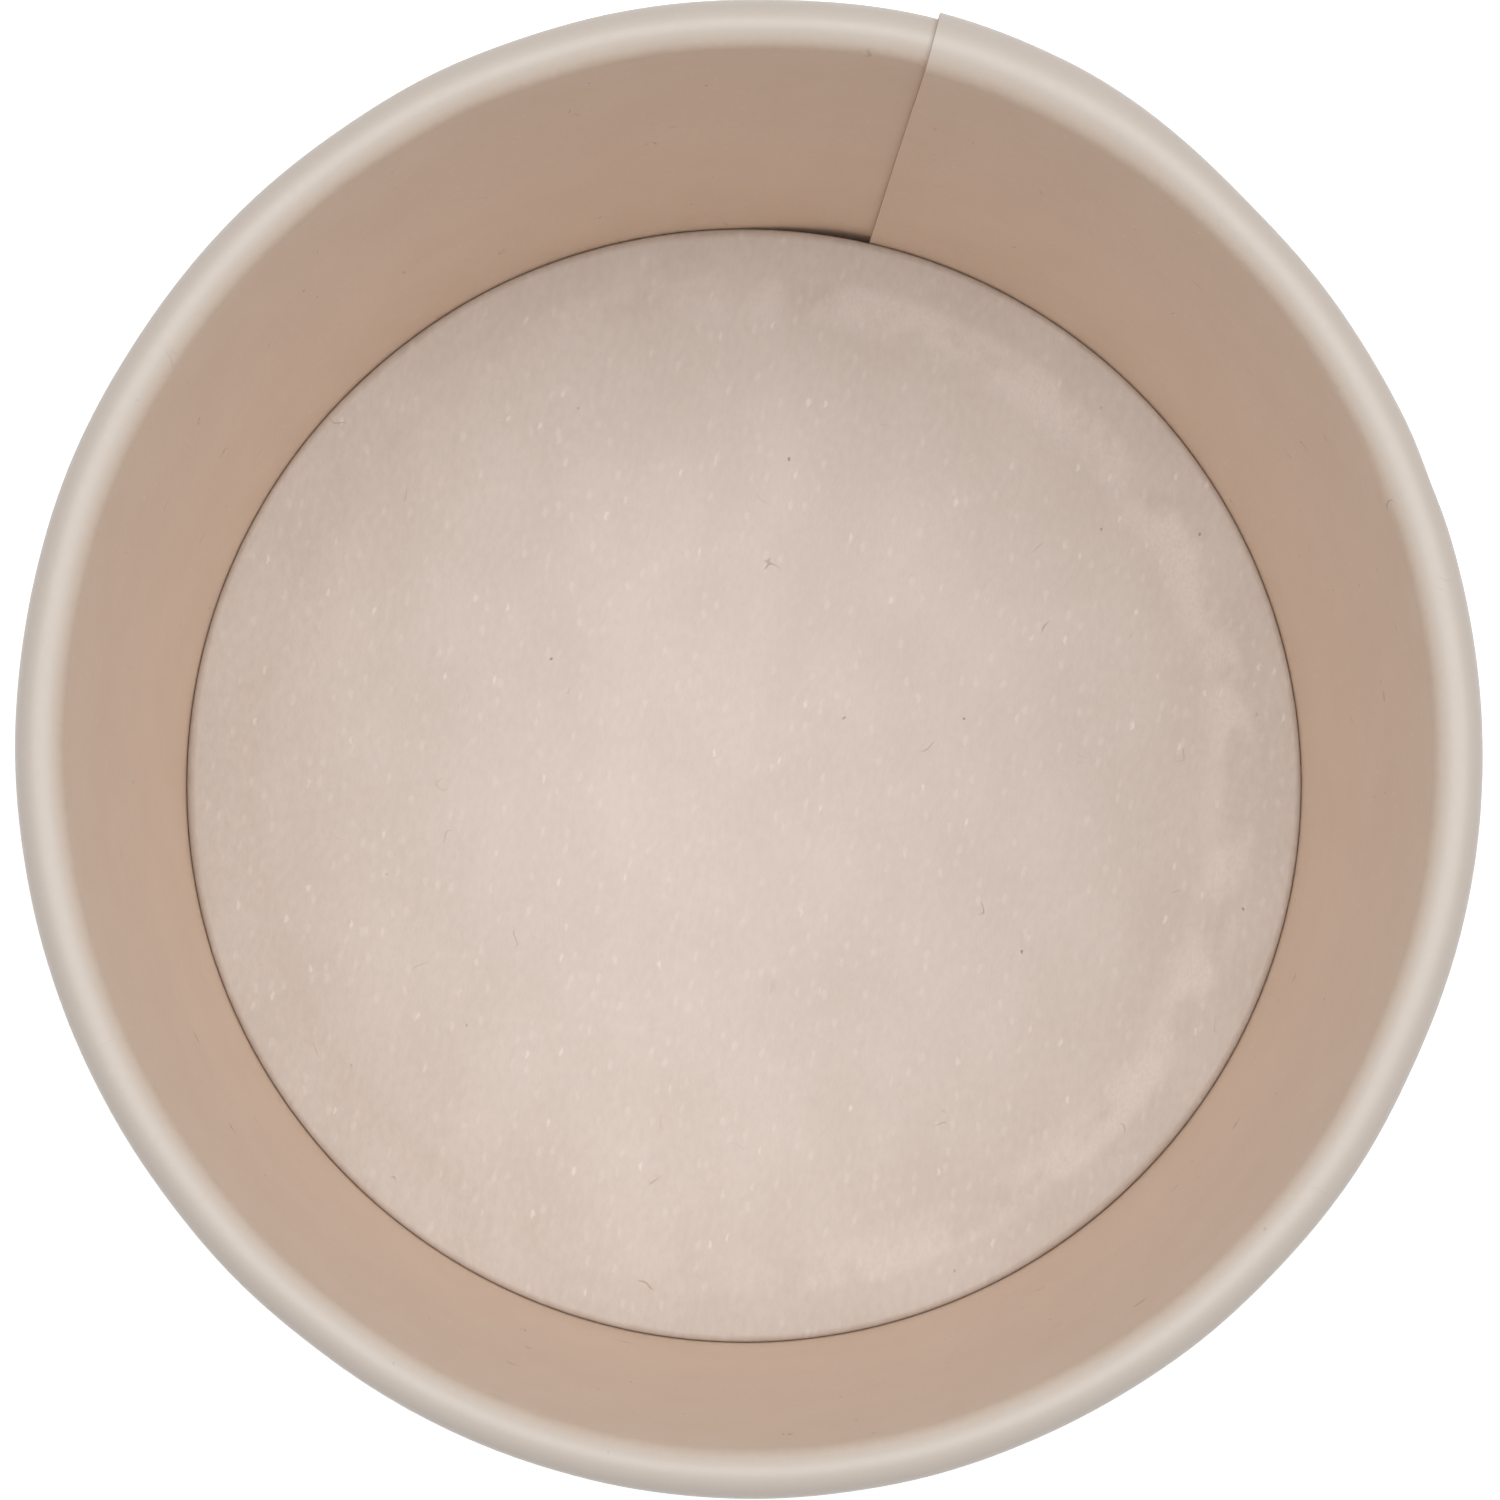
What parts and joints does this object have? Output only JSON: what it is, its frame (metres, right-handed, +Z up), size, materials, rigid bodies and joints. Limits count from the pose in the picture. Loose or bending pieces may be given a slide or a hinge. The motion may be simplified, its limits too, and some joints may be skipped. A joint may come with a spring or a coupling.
{
  "type": "paper soup cup",
  "caption": "Short tapered soup cup of kraft paperboard with a rolled rim, a lapped side seam and a recessed floor.",
  "frame": {"origin": "centre of the base plane, on which the folded hem stands", "axes": "+Z up along the cup's axis, towards the rim; +Y towards the side seam, whose raw edge inside lies 76.5 degrees round from +X"},
  "size_m": [0.09, 0.09, 0.0604],
  "materials": {
    "wall_board": "lined kraft board, satin",
    "floor_board": "lined kraft board, satin"
  },
  "bodies": {
    "root": {"side_wall": "wall_board", "bottom_disc": "floor_board"}
  },
  "joints": []
}
